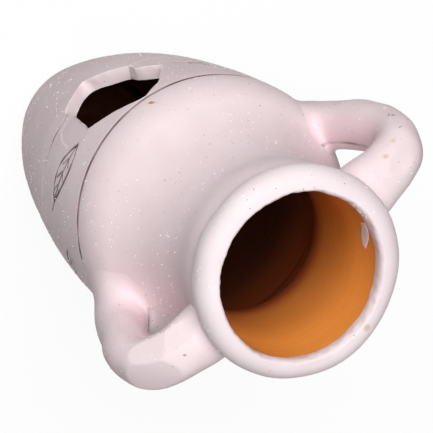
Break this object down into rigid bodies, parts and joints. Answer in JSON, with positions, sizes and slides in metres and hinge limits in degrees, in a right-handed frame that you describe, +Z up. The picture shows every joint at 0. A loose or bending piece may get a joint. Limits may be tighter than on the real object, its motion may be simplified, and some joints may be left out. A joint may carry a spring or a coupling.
{
  "type": "amphora vase",
  "caption": "Two-handled ceramic amphora vase with a tapering belly, rolled rim, incised lines and a broken window in its side, for standing as an ornament.",
  "frame": {"origin": "centre of the foot's flat underside", "axes": "+Z up along the vase's axis from foot to lip, the handles along X, the broken window facing -Y"},
  "size_m": [0.1169, 0.088, 0.195],
  "materials": {
    "slip_coat": "matt pale pink slip with sand specks over fired clay",
    "bare_clay": "bare orange fired clay"
  },
  "bodies": {
    "root": {"floor": "slip_coat", "belly": "slip_coat", "shoulder": "slip_coat", "neck": "slip_coat", "rim": "slip_coat", "handle_left": "slip_coat", "handle_right": "slip_coat", "left_upper_weld": "slip_coat", "right_upper_weld": "slip_coat", "left_lower_weld": "slip_coat", "right_lower_weld": "slip_coat", "floor_coil": "bare_clay", "body_seam_coil": "bare_clay"}
  },
  "joints": []
}
